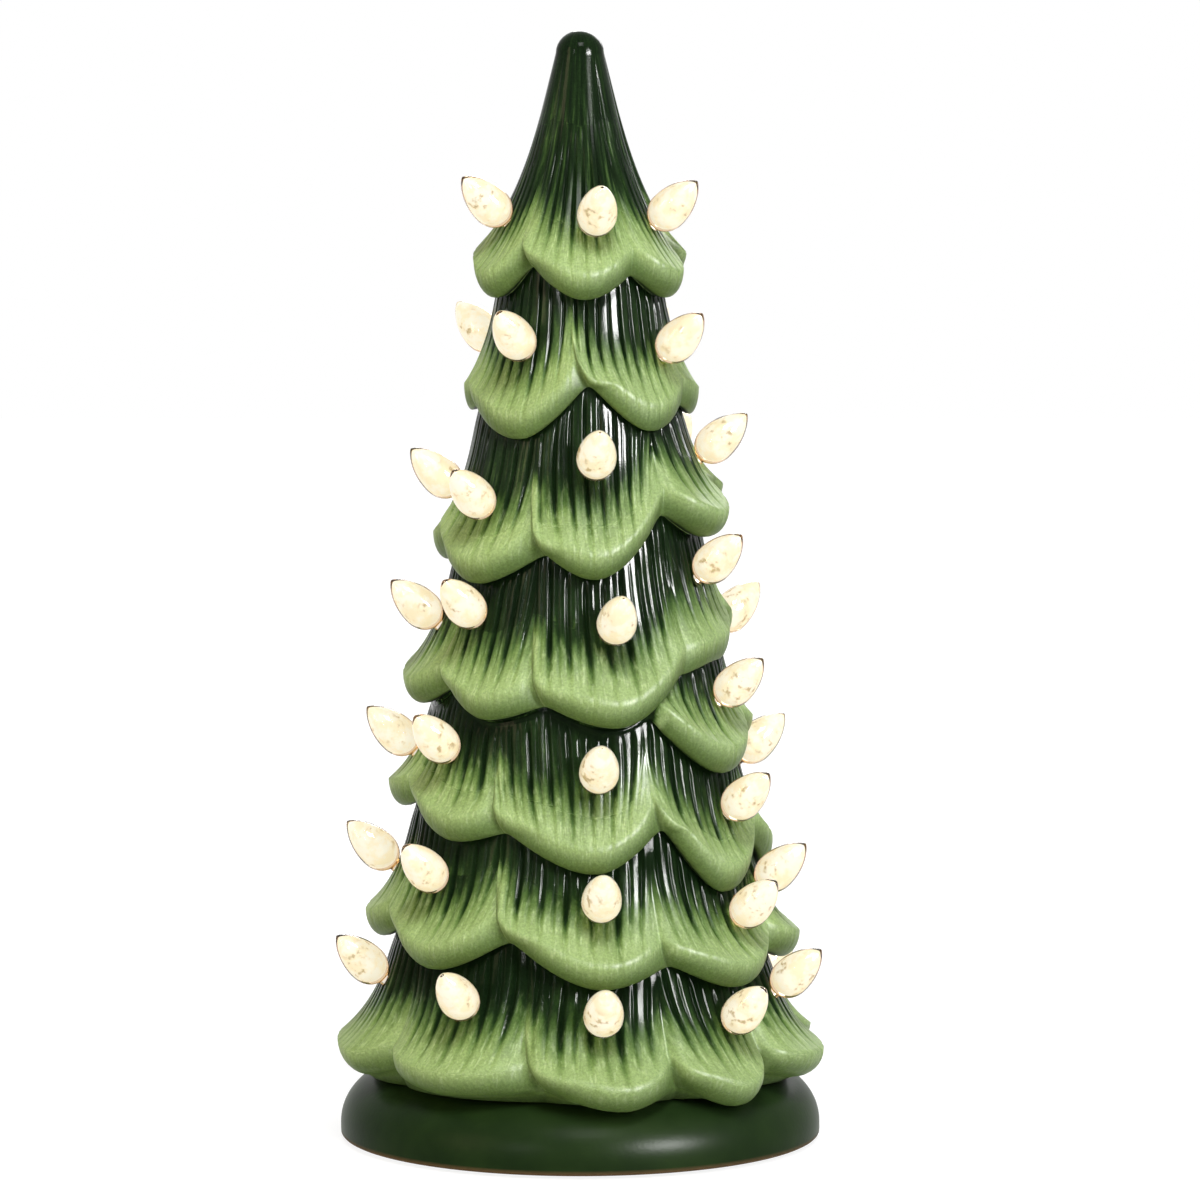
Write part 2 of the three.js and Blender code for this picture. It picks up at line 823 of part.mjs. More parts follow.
function addBase() {
  addNode("base_cover", baseCover(), ceramicGreen);
  addNode("base_plate", basePlate(), blackPlastic);
  addNode("battery_door", batteryDoor(), blackPlastic);
  addNode("foot_ring", ring(footInner, footOuter, 0, plateLow + footGrooveDepth - gap), greyRubber);
  cellRows.forEach((row) => addNode("battery_cell_" + (row + 2), cell(row), cellSleeve));
  addNode("contact_strip_1", contactStrip([0]), steel);
  addNode("contact_strip_2", contactStrip([-1, 1]).rotate([0, 0, 180]), steel);
  screwAngles.forEach((angle, i) => {
    addNode("screw_" + (i + 1), aroundAxis(screw(), angle, screwCircle), steel);
  });
  addNode("switch_body", switchBody(), blackPlastic);
  addNode("switch_knob", switchKnob(), whitePlastic);
  addNode("lamp_lens", lampLens(), whitePlastic);
  addNode("led_board", disc(boardRadius, boardLow, boardLow + boardThickness), boardGreen);
  addNode("led_lamp", ledLamp(), bulbPlastic);
}

addTree();
addBase();

export default tree;
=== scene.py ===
"""Tabletop tree of glazed ceramic with lit plastic bulbs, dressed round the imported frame.

Lengths in the tables are millimetres, and everything is built in metres in the frame's own axes:
+Z up, the front towards -Y. Angles run from the front to the right.
"""

import math

import bmesh
import bpy
import numpy as np
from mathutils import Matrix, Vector


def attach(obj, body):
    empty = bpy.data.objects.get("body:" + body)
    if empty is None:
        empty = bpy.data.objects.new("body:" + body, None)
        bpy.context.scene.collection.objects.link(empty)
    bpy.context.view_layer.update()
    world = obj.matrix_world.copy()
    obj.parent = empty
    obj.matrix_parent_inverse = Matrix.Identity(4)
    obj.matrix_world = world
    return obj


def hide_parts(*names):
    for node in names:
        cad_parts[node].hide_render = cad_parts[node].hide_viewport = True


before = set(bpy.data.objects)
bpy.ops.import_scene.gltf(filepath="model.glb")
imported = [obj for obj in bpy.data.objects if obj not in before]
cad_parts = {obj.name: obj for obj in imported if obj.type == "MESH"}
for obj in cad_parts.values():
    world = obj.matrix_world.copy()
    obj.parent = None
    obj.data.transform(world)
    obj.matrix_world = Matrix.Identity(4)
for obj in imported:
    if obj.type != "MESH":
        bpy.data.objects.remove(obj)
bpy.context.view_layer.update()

MM = 0.001

# Tree form, heights above the shell's foot, with the same values as its solid
FOOT_LEVEL = 18.8
TREE_HEIGHT = 281.2
TOP_RADIUS = 6.5
TOP_ROUND = 6.0
NECK_HEIGHT = 207.0
NECK_RADIUS = 23.0
CONE_SLOPE = 0.16
FOOT_RING_RADIUS = 51.0
CAVITY_FOOT_RADIUS = 46.5
CAVITY = ((46.5, 3.6), (47.5, 7.6), (18.0, 207.0), (6.5, 244.0), (3.2, 262.0), (0.0, 266.0))
VALLEY_SPREAD = 3.4
LIP_SHARE = 0.35
NOSE_RISE = 7.2
UNDERCUT = 1.2
LIP_ROUND = 1.45
VALLEY_ROUND = 0.15
TIP_ROUND = 0.1
SOFT_EDGE = 1.6
STEEP_EDGE = 4.0
TOP_FLARE = (0.6, 4.0)
ROW_FLARE = (0.5, 3.5)

# Each petal: angle and height of its tip, spread, angle and height of the valley that follows it, and
# how far the next petal's left edge climbs above that valley and leans over to the left
ROWS = (
    (
        (-120, 211, 8.6, -92, 218, 9, 2.5),
        (-62, 210, 8.6, -33, 218.5, 12, 3),
        (3, 210, 8.2, 36, 216, 3, 0),
        (64, 210, 8.8, 92, 217, 10, 3),
        (120, 211, 8.6, 149, 218, 10, 3),
        (178, 210, 8.6, 209, 217.5, 10, 3),
    ),
    (
        (-98, 179, 5.2, -74, 181, 10, 3),
        (-33, 173, 5, 5, 187, 14, 6),
        (40, 175, 5, 70, 181, 4, 0),
        (95, 178, 5.6, 122, 185, 10, 3),
        (150, 179, 5, 178, 186, 10, 3),
        (205, 177, 5, 232, 185, 10, 3),
    ),
    (
        (-105, 138, 8, -78, 144, 12, 3),
        (-47, 134.5, 8, -15, 142.5, 20, 7),
        (6, 136.5, 8, 41, 152.5, 3, 0),
        (67, 146, 11, 96, 154, 10, 3),
        (124, 147, 10, 152, 154, 10, 3),
        (182, 144, 9, 212, 151, 10, 3),
    ),
    (
        (-80, 100.5, 9.2, -56, 106, 13, 4),
        (-35, 99, 7.6, -13, 103, 20, 6),
        (13, 97.5, 7.6, 44, 110.5, 3, 0),
        (66, 113, 5.2, 94, 119, 10, 3),
        (121, 107, 5.6, 148, 118, 10, 3),
        (175, 111, 6, 203, 115, 10, 3),
        (232, 100, 8.5, 256, 107, 10, 3),
    ),
    (
        (-77, 85, 7, 26, 98, 3, 0),
        (58, 83.5, 7.2, 90, 91, 8, 3),
        (118, 85, 7.2, 146, 92, 10, 3),
        (172, 86, 7.2, 204, 97, 10, 3),
    ),
    (
        (-93, 71.5, 8.6, -69, 75, 14, 4),
        (-43, 66.5, 7.6, -25, 69.5, 19, 6.5),
        (5, 59.5, 6.2, 28, 70, 10, 3),
        (51, 52.5, 6.4, 77, 63, 6, 0),
        (100, 54, 6.4, 124, 62, 10, 3),
        (148, 57, 6.6, 172, 65, 10, 3),
        (200, 64, 7.6, 233, 72, 10, 3),
    ),
    (
        (-91, 36, 9.2, -68, 41, 14, 4),
        (-46, 32.5, 8.6, -21, 41, 20, 7),
        (7, 29.5, 8.6, 27, 34.5, 9, 3),
        (50, 27.5, 9, 72, 34, 6, 0),
        (93, 30, 9.6, 116, 37, 10, 3),
        (140, 31, 9, 163, 38, 10, 3),
        (188, 31, 9, 208, 38, 10, 3),
        (228, 33, 9, 248, 40, 10, 3),
    ),
    (
        (-72, 1, 12.03, -58, 4, 6, 0),
        (-35, 0.5, 10.43, -9, 3, 17, 7.5),
        (11, -2, 11.43, 27, 3, 10, 3),
        (43, -3, 11.43, 58, 3, 9, 3),
        (76, 0, 12.63, 97, 5, 10, 3),
        (117, -1, 11.63, 137, 5, 10, 3),
        (157, -1.5, 11.63, 177, 5, 10, 3),
        (197, -1, 11.63, 217, 5, 10, 3),
        (242, 0, 11.83, 265, 5, 10, 3),
    ),
)

# The fifth row runs round only part of the tree
PART_ROW = 4
PART_START = 22.0
PART_END = 209.0
PART_FADE = 10.0

# Ribs down the flares, at the solid's own angles, with half-width ones between them, more in the lower rows
RIB_PITCH = 360 / 46
RIB_DEPTH = 0.85
GROOVE_WIDTH = (0.24, 0.22, 0.2, 0.19, 0.18, 0.17, 0.16, 0.15)
HALF_WIDTH = 0.11
HALF_RIBS = (0.0, 0.0, 0.12, 0.25, 0.35, 0.4, 0.45, 0.5)
SKIN_COLUMNS = 960
TOP_FLARE_STEPS = 64
FLARE_STEPS = 30
LIP_STEPS = 8

# Ribs fade in below the start of a row, and partly out above its nose, all as shares of the flare
TOP_RIB_RISE = (0.25, 0.55)
RIB_RISE = (0.0, 0.2)
RIB_FALL = (0.66, 0.34)
NOSE_RIB_LOSS = 0.75
RIB_SWELL = 0.35
# Where the crown's top starts on the scale of the painted shade under each lip
TOP_START = 0.12

# Where a point lies to the glaze, in millimetres above the lip: far above any, behind the lip, inside
FAR_ABOVE = 60.0
BEHIND_LIP = -5.0
INSIDE = -6.0

# Scale of the glaze's streaks, per rib round a row and per millimetre down it; they shift every few rings
STREAK_SCALE = (1.1, 0.045)
STREAK_BAND = 30
STREAK_SHIFT = 0.7

# Each petal's left edge stands proud of its neighbour
EDGE_RISE = 1.0
EDGE_SINK = 0.9
EDGE_WIDTH = 7.0

# Bulb, along its own axis from its lower end
BULB_TILT = 43.0
BULB_LENGTH = 17.0
BULB_RADIUS = 5.35
BULB_MIDDLE = 5.4
BULB_ROUND = 6.2
BULB_POINT = 0.78
BULB_PEG = (1.6, -4.6)
CORE_SHARE = 0.665
CORE_TIP = 16.1

# Greens of the tree's glaze by tone, as screen values
GLAZE_GREENS = (
    (0.0, (14, 28, 12)),
    (0.16, (28, 48, 20)),
    (0.34, (66, 92, 44)),
    (0.6, (106, 132, 72)),
    (0.85, (136, 160, 98)),
    (1.0, (148, 172, 110)),
)

# Lamps in metres and watts: name, place, size, power, colour, and whether it only makes highlights
LAMP_AIM = (0, 0, 0.15)
LAMPS = (
    ("key_box", (1.12, -1.24, 0.85), (0.4, 0.6), 10.0, (1, 1, 1), False),
    ("top_box", (0.1, -0.95, 1.4), (0.5, 0.5), 19.0, (1, 1, 1), False),
    ("left_box", (-1.2, -0.8, 0.6), (0.3, 0.8), 6.5, (1.0, 0.8, 0.5), False),
    ("back_box", (0.3, 1.3, 0.8), (0.9, 0.6), 8.0, (1, 1, 1), False),
    ("key_gloss", (1.17, -1.25, 0.71), (0.6, 0.36), 190.0, (1, 1, 1), True),
    ("left_gloss", (-0.82, -1.54, 0.7), (0.05, 0.5), 8.0, (1, 1, 1), True),
)

# Floor in millimetres, a little under the foot so that their faces don't share a plane
FLOOR_HALF = 3000
FLOOR_LEVEL = -0.3

# What the camera and glossy rays see of the floor: the white's share, and its strength near the tree and far off
FLOOR_WHITE_SHARE = 0.75
FLOOR_WHITE = (1.16, 1.34)

# World light on the object, and what the camera and glossy rays see of it
SKY_LIGHT = 0.09
SKY_SEEN = 1.0

# Camera
CAMERA_X = 0.0054
CAMERA_DISTANCE = 1.6
CAMERA_HEIGHT = 0.3
AIM_HEIGHT = 0.1464
LENS = 178.0


def linear(red, green, blue):
    """A colour given as 0 to 255 screen values, as linear light with alpha."""
    parts = []
    for value in (red, green, blue):
        share = value / 255
        parts.append(share / 12.92 if share <= 0.04045 else ((share + 0.055) / 1.055) ** 2.4)
    return (*parts, 1.0)


def smoothstep(x):
    x = np.clip(x, 0, 1)
    return x * x * (3 - 2 * x)


# Material helpers


def add(tree, kind, inputs=None, **settings):
    """A shader node with its settings and inputs; an input is a value or another node's socket."""
    node = tree.nodes.new("ShaderNode" + kind)
    for key, value in settings.items():
        setattr(node, key, value)
    for key, value in (inputs or {}).items():
        if isinstance(value, bpy.types.NodeSocket):
            tree.links.new(value, node.inputs[key])
        else:
            node.inputs[key].default_value = value
    return node


def math_node(tree, operation, a, b=0.0, c=0.0, clamp=False):
    return add(tree, "Math", {0: a, 1: b, 2: c}, operation=operation, use_clamp=clamp).outputs[0]


def smooth_range(tree, value, low, high):
    """Rises smoothly from 0 to 1 as the value goes from low to high."""
    inputs = {"Value": value, "From Min": low, "From Max": high}
    return add(tree, "MapRange", inputs, interpolation_type="SMOOTHSTEP").outputs[0]


def ramp(tree, factor, stops):
    """A colour ramp through (place, colour) stops."""
    node = add(tree, "ValToRGB", {"Fac": factor})
    elements = node.color_ramp.elements
    while len(elements) < len(stops):
        elements.new(0.5)
    for element, (place, colour) in zip(elements, stops):
        element.position = place
        element.color = colour
    return node.outputs["Color"]


def mix(tree, factor, a, b, blend="MIX"):
    node = add(tree, "Mix", data_type="RGBA", blend_type=blend)
    for socket, value in ((node.inputs[0], factor), (node.inputs[6], a), (node.inputs[7], b)):
        if isinstance(value, bpy.types.NodeSocket):
            tree.links.new(value, socket)
        else:
            socket.default_value = value
    return node.outputs[2]


def new_material(name):
    """A material with an empty tree, its Principled shader and its output."""
    material = bpy.data.materials.new(name)
    material.use_nodes = True
    tree = material.node_tree
    tree.nodes.clear()
    shader = add(tree, "BsdfPrincipled")
    add(tree, "OutputMaterial", {"Surface": shader.outputs[0]})
    return material, tree, shader


def feed(tree, shader, **sockets):
    """Sets or links the shader's sockets; underscores in the names stand for spaces."""
    for key, value in sockets.items():
        socket = shader.inputs[key.replace("_", " ")]
        if isinstance(value, bpy.types.NodeSocket):
            tree.links.new(value, socket)
        else:
            socket.default_value = value


def output_of(tree):
    return next(node for node in tree.nodes if node.type == "OUTPUT_MATERIAL")


def object_point(tree):
    return add(tree, "TexCoord").outputs["Object"]


def noise(tree, vector, scale, detail=3.0, roughness=0.5):
    inputs = {"Vector": vector, "Scale": scale, "Detail": detail, "Roughness": roughness}
    return add(tree, "TexNoise", inputs).outputs["Fac"]


def bump(tree, height, distance):
    return add(tree, "Bump", {"Height": height, "Distance": distance}).outputs["Normal"]


def seen_ray(tree):
    """1 for rays from the camera, off gloss and through clear plastic, else 0."""
    path = add(tree, "LightPath")
    seen = math_node(tree, "MAXIMUM", path.outputs["Is Camera Ray"], path.outputs["Is Glossy Ray"])
    return math_node(tree, "MAXIMUM", seen, path.outputs["Is Transmission Ray"])


# Materials


def tree_glaze():
    """Dark green glaze that thins to pale green on the ridges and at the rims, with a pearly grain.

    It shines most on the dark ridges of the upper rows and hardly at all in the grooves. Its colour also
    holds painted shade in the grooves and under each lip, painted sheen on the rims, and a painted highlight
    along each petal's left edge.
    """
    material, tree, shader = new_material("tree_glaze")
    glaze = add(tree, "Attribute", attribute_name="glaze").outputs["Fac"]
    groove = add(tree, "Attribute", attribute_name="groove").outputs["Fac"]
    edge_highlight = add(tree, "Attribute", attribute_name="edge_highlight").outputs["Fac"]
    top = add(tree, "Attribute", attribute_name="top").outputs["Fac"]
    flow = add(tree, "Attribute", attribute_name="flow").outputs["Vector"]
    point = object_point(tree)
    streaks = noise(tree, flow, 1.0, 2.0, 0.5)
    fine_streaks = noise(tree, flow, 4.0, 3.0, 0.6)
    cloud = noise(tree, point, 50.0, 2.0)
    grain = noise(tree, point, 1500.0, 2.0, 0.7)

    # Tone from 0, the darkest green, to 1, the palest: high at the rim, higher on ridges than in grooves, where
    # the darker tone is painted shade in the recesses
    start = math_node(tree, "MULTIPLY_ADD", groove, 6.5, glaze)
    start = math_node(tree, "MULTIPLY_ADD", streaks, 12.0, start)
    start = math_node(tree, "MULTIPLY_ADD", fine_streaks, 8.0, start)
    start = math_node(tree, "MULTIPLY_ADD", cloud, 4.0, start)
    rim = smooth_range(tree, start, 38.0, 18.5)
    ridge = math_node(tree, "SUBTRACT", 1.0, groove)
    body = math_node(tree, "MULTIPLY", ridge, smooth_range(tree, streaks, 0.3, 0.8))
    body = math_node(tree, "MULTIPLY", body, math_node(tree, "MULTIPLY", fine_streaks, 0.6))
    # Painted shade: each row is darker at its top, under the lip of the row above
    body = math_node(tree, "MULTIPLY", body, smooth_range(tree, top, -0.3, 0.6))
    tone = math_node(tree, "MULTIPLY_ADD", math_node(tree, "SUBTRACT", 1.0, rim), body, rim)
    colour = ramp(tree, tone, [(place, linear(*green)) for place, green in GLAZE_GREENS])

    # The rolled lip under the nose is darkened to olive as painted shade on its underside, and a petal's left
    # edge has a thin pale line of painted highlight
    # Painted sheen: pale whitish streaks on the rims stand in for soft highlights
    painted_sheen = math_node(tree, "MULTIPLY", smooth_range(tree, noise(tree, flow, 7.0, 2.0, 0.5), 0.5, 0.75), rim)
    colour = mix(tree, math_node(tree, "MULTIPLY", painted_sheen, 0.6), colour, linear(186, 206, 152))
    # Painted shade: the rolled lip's underside turns a darker olive
    lip = math_node(tree, "MULTIPLY", smooth_range(tree, glaze, 7.8, 1.5), 0.9)
    colour = mix(tree, lip, colour, linear(78, 102, 44))
    # Painted highlight: a thin pale line along each petal's left edge
    colour = mix(tree, math_node(tree, "MULTIPLY", edge_highlight, 0.35), colour, linear(160, 180, 122))
    inside = add(tree, "MapRange", {"Value": glaze, "From Min": -0.5, "From Max": -4.0}).outputs[0]
    colour = mix(tree, inside, colour, linear(24, 40, 18))
    grain_range = {"Value": grain, "From Min": 0.35, "From Max": 0.7, "To Min": 0.84, "To Max": 1.18}
    sparkle = add(tree, "MapRange", grain_range).outputs[0]
    colour = mix(tree, 1.0, colour, sparkle, "MULTIPLY")
    rough = add(tree, "MapRange", {"Value": tone, "To Min": 0.08, "To Max": 0.46}).outputs[0]
    normal = bump(tree, math_node(tree, "MULTIPLY_ADD", fine_streaks, 0.15, grain), 0.00002)
    height = add(tree, "SeparateXYZ", {0: point}).outputs["Z"]
    gloss = math_node(tree, "MULTIPLY_ADD", smooth_range(tree, height, 0.06, 0.2), 0.04, 0.015)
    shine = add(tree, "MapRange", {"Value": tone, "To Min": gloss, "To Max": 0.16}).outputs[0]
    dry = math_node(tree, "MULTIPLY_ADD", groove, -0.96, 1.0, clamp=True)
    shine = math_node(tree, "MULTIPLY", shine, dry)
    feed(tree, shader, Base_Color=colour, Roughness=rough, Normal=normal, Specular_IOR_Level=shine)
    return material


def base_glaze():
    """Deep green glaze with a bare brown line at its foot."""
    material, tree, shader = new_material("base_glaze")
    point = object_point(tree)
    height = add(tree, "SeparateXYZ", {0: point}).outputs["Z"]
    cloud = noise(tree, point, 45.0, 3.0)
    grain = noise(tree, point, 900.0, 2.0)
    green = ramp(tree, cloud, [(0.3, linear(20, 36, 15)), (0.7, linear(34, 52, 22))])
    rim = add(tree, "MapRange", {"Value": height, "From Min": 0.0022, "From Max": 0.0012}).outputs[0]
    colour = mix(tree, rim, green, linear(92, 74, 50))
    rough = add(tree, "MapRange", {"Value": rim, "To Min": 0.34, "To Max": 0.6}).outputs[0]
    normal = bump(tree, grain, 0.00003)
    feed(tree, shader, Base_Color=colour, Roughness=rough, Normal=normal, Specular_IOR_Level=0.035)
    return material


def bulb_shell():
    """Clear plastic that takes up a little light on its way, so that its thick rim looks amber."""
    material, tree, shader = new_material("bulb_shell")
    feed(tree, shader, Base_Color=linear(255, 255, 255), Roughness=0.05, Transmission_Weight=1.0, IOR=1.4)
    tint = add(tree, "VolumeAbsorption", {"Color": linear(232, 204, 150), "Density": 160.0})
    tree.links.new(tint.outputs[0], output_of(tree).inputs["Volume"])
    return material


def bulb_core():
    """The lit inside: warm white, with olive flecks where its cut facets turn dark."""
    material, tree, shader = new_material("bulb_core")
    point = object_point(tree)
    along = add(tree, "Attribute", attribute_name="along").outputs["Fac"]
    flecks = noise(tree, point, 520.0, 2.0, 0.55)
    patches = noise(tree, point, 150.0, 2.0, 0.5)
    clouds = noise(tree, point, 260.0, 3.0, 0.65)
    fleck = smooth_range(tree, flecks, 0.54, 0.7)
    off_middle = math_node(tree, "ABSOLUTE", math_node(tree, "SUBTRACT", along, 0.44))
    middle = smooth_range(tree, off_middle, 0.3, 0.14)
    patch = smooth_range(tree, patches, 0.44, 0.56)
    share = math_node(tree, "MULTIPLY", math_node(tree, "MULTIPLY", fleck, patch), middle)
    warm = mix(tree, smooth_range(tree, clouds, 0.4, 0.62), linear(252, 252, 236), linear(250, 242, 208))
    glow = mix(tree, math_node(tree, "MULTIPLY", share, 0.8), warm, linear(178, 152, 92))
    dim = mix(tree, 1.0, glow, (0.08, 0.08, 0.08, 1.0), "MULTIPLY")
    feed(tree, shader, Base_Color=dim, Roughness=0.5, Emission_Color=glow, Emission_Strength=1.0)
    return material


def moulded_plastic(name, colour, roughness, grain_scale=2400.0, depth=0.00004):
    material, tree, shader = new_material(name)
    point = object_point(tree)
    grain = noise(tree, point, grain_scale, 2.0)
    cloud = noise(tree, point, 70.0, 2.0)
    cloud_range = {"Value": cloud, "From Min": 0.3, "From Max": 0.7, "To Min": 0.9, "To Max": 1.08}
    shade = add(tree, "MapRange", cloud_range).outputs[0]
    tint = mix(tree, 1.0, linear(*colour), shade, "MULTIPLY")
    rough = add(tree, "MapRange", {"Value": grain, "To Min": roughness - 0.06, "To Max": roughness + 0.06})
    normal = bump(tree, grain, depth)
    feed(tree, shader, Base_Color=tint, Roughness=rough.outputs[0], Normal=normal)
    return material


def bright_steel():
    material, tree, shader = new_material("bright_steel")
    point = object_point(tree)
    drawn = add(tree, "Mapping", {"Vector": point, "Scale": (1.0, 30.0, 30.0)}).outputs[0]
    scratches = noise(tree, drawn, 90.0, 4.0)
    rough = add(tree, "MapRange", {"Value": scratches, "To Min": 0.2, "To Max": 0.42}).outputs[0]
    tint = ramp(tree, scratches, [(0.2, linear(165, 167, 170)), (0.8, linear(205, 206, 208))])
    feed(tree, shader, Base_Color=tint, Metallic=1.0, Roughness=rough)
    return material


def floor_material():
    """Pale floor that shows white to the camera, with a soft shadow near the tree."""
    material, tree, shader = new_material("floor_white")
    feed(tree, shader, Base_Color=linear(240, 240, 240), Roughness=0.9, Specular_IOR_Level=0.1)
    distance = add(tree, "VectorMath", {0: object_point(tree)}, operation="LENGTH").outputs["Value"]
    near, far = FLOOR_WHITE
    reach = {"Value": distance, "From Min": 0.08, "From Max": 0.4, "To Min": near, "To Max": far}
    strength = add(tree, "MapRange", reach).outputs[0]
    white = add(tree, "Emission", {"Color": (1, 1, 1, 1), "Strength": strength})
    seen = seen_ray(tree)
    share = math_node(tree, "MULTIPLY", seen, FLOOR_WHITE_SHARE)
    both = add(tree, "MixShader", {0: share, 1: shader.outputs[0], 2: white.outputs[0]})
    tree.links.new(both.outputs[0], output_of(tree).inputs["Surface"])
    return material


# Mesh helpers


def mesh_object(name, points, faces, material, attributes=None, smooth=True):
    """A mesh in metres from points in millimetres, with named float or vector values at its points."""
    mesh = bpy.data.meshes.new(name)
    points = np.asarray(points, float) * MM
    sizes = np.array([len(face) for face in faces], dtype=np.int32)
    corners = np.concatenate([np.asarray(face, dtype=np.int32) for face in faces])
    fill_mesh(mesh, points, corners, sizes)
    for key, values in (attributes or {}).items():
        kind, field = ("FLOAT_VECTOR", "vector") if values.ndim == 2 else ("FLOAT", "value")
        attribute = mesh.attributes.new(key, kind, "POINT")
        attribute.data.foreach_set(field, values.astype(np.float32).ravel())
    if smooth:
        mesh.shade_smooth()
    mesh.materials.append(material)
    piece = bpy.data.objects.new(name, mesh)
    bpy.context.scene.collection.objects.link(piece)
    return piece


def fill_mesh(mesh, points, corners, sizes):
    mesh.vertices.add(len(points))
    mesh.vertices.foreach_set("co", points.astype(np.float32).ravel())
    mesh.loops.add(len(corners))
    mesh.loops.foreach_set("vertex_index", corners)
    mesh.polygons.add(len(sizes))
    starts = np.concatenate([[0], np.cumsum(sizes)[:-1]]).astype(np.int32)
    mesh.polygons.foreach_set("loop_start", starts)
    mesh.polygons.foreach_set("loop_total", sizes)
    mesh.update(calc_edges=True)
    mesh.validate()


def grid_faces(rings, columns, closed_rings=False):
    """Quads of a grid that closes round its columns; ring 0 is the first, and the outside faces out."""
    faces = []
    last = rings if closed_rings else rings - 1
    for i in range(last):
        here = i * columns
        below = ((i + 1) % rings) * columns
        for j in range(columns):
            k = (j + 1) % columns
            faces.append((here + j, below + j, below + k, here + k))
    return faces


def turned(name, outline, material, columns):
    """A body of revolution from an outline of (radius, height), from top to bottom on its outside."""
    angles = np.arange(columns) * 2 * math.pi / columns
    points = []
    for radius, height in outline:
        ring = np.stack([radius * np.sin(angles), -radius * np.cos(angles), np.full(columns, height)], 1)
        points.append(ring)
    closed = outline[0][0] > 1e-6
    faces = grid_faces(len(outline), columns, closed)
    piece = mesh_object(name, np.concatenate(points), faces, material)
    merge_close(piece)
    return piece


def merge_close(piece, distance=1e-6):
    """Joins points that share a place, such as a pole's."""
    work = bmesh.new()
    work.from_mesh(piece.data)
    bmesh.ops.remove_doubles(work, verts=work.verts, dist=distance)
    work.to_mesh(piece.data)
    work.free()


# Tree skin


def cone_radius(z):
    return NECK_RADIUS + CONE_SLOPE * (NECK_HEIGHT - z)


def rounded(rise, round_share):
    return np.hypot(rise, round_share) - round_share


def lip_at(row, angles):
    """Lip height and spread of a row at the angles, and where they lie between tips and valleys."""
    petals = ROWS[row]
    tips = np.array([petal[0] for petal in petals], float)
    heights = np.array([petal[1] for petal in petals], float)
    spreads = np.array([petal[2] for petal in petals], float)
    valleys = np.array([petal[3] for petal in petals], float)
    depths = np.array([petal[4] for petal in petals], float)
    edges = np.array([petal[5:7] for petal in petals], float).T
    turn = tips[0] + np.mod(angles - tips[0], 360)
    i = np.searchsorted(tips, turn, side="right") - 1
    following = (i + 1) % len(petals)
    next_tip = np.where(i + 1 == len(petals), tips[0] + 360, tips[following])
    before = turn < valleys[i]
    from_tip = (turn - tips[i]) / (valleys[i] - tips[i])
    to_tip = (next_tip - turn) / (next_tip - valleys[i])
    share = np.where(before, from_tip, to_tip)
    owner = np.where(before, i, following)
    near_tip = heights[owner]
    near_spread = spreads[owner]
    rise = rounded(share, TIP_ROUND) / rounded(1, TIP_ROUND)
    climb = 1 - rounded(1 - rise**LIP_ROUND, VALLEY_ROUND) / rounded(1, VALLEY_ROUND)
    height = near_tip + (depths[i] - near_tip) * climb
    edge = np.where(before, SOFT_EDGE, STEEP_EDGE)
    spread = near_spread + (VALLEY_SPREAD - near_spread) * share**edge
    away = np.where(before, turn - tips[i], turn - next_tip)
    half_width = np.where(before, valleys[i] - tips[i], next_tip - valleys[i])
    beside = {
        "away": away,
        "past": turn - valleys[i],
        "fade": 1 - smoothstep(np.abs(turn - valleys[i]) / half_width / 0.75),
        "owner": owner,
        "valley": depths[i],
        "edge": edges[:, i],
    }
    return height, spread, beside


def part_share(angles):
    turn = np.mod(angles + 90, 360) - 90
    return smoothstep((turn - PART_START) / PART_FADE) * smoothstep((PART_END - turn) / PART_FADE)


def ribs(angles, beside, share, row):
    """Depth from 0 on a flat ridge to 1 in a groove, a wider copy of it that sets the painted shade in the
    grooves' colour, and the place in ribs.

    Ribs fan out from each petal's middle and wander a little, differently on each petal.
    """
    owner = beside["owner"]
    lean = 0.17 + 0.15 * np.sin(owner * 2.3 + row * 1.9)
    drift = beside["away"] * (1 / (1 - lean * share**1.6) - 1)
    wander = 0.09 * np.sin(share * 4.0 + owner * 2.1 + row)
    crowd = 0.1 * np.sin(beside["away"] * 0.11 + owner + share * 1.5)
    place = (angles + drift) / RIB_PITCH + (wander + crowd)
    to_groove = np.abs(np.mod(place, 1) - 0.5)
    to_half = 0.5 - to_groove
    strength = 0.85 + 0.15 * np.sin(np.floor(place) * 2.4 + row * 0.9)
    depths = []
    for wider in (1.0, 1.5):
        main = 1 - smoothstep(to_groove / GROOVE_WIDTH[row] / wider)
        half = HALF_RIBS[row] * (1 - smoothstep(to_half / HALF_WIDTH / wider))
        depths.append(np.maximum(main, half) * strength)
    return depths[0], depths[1], place


def leaned(row, angles, z):
    """Angles at which a row is read at heights z, so that its folds lean over to the left as they climb."""
    beside = lip_at(row, angles)[2]
    height, reach = beside["edge"]
    rise = np.clip((z - beside["valley"]) / height, 0, 1)
    lean = reach * (1 - (1 - rise) ** 2) * beside["fade"]
    return angles + np.degrees(lean / cone_radius(z))


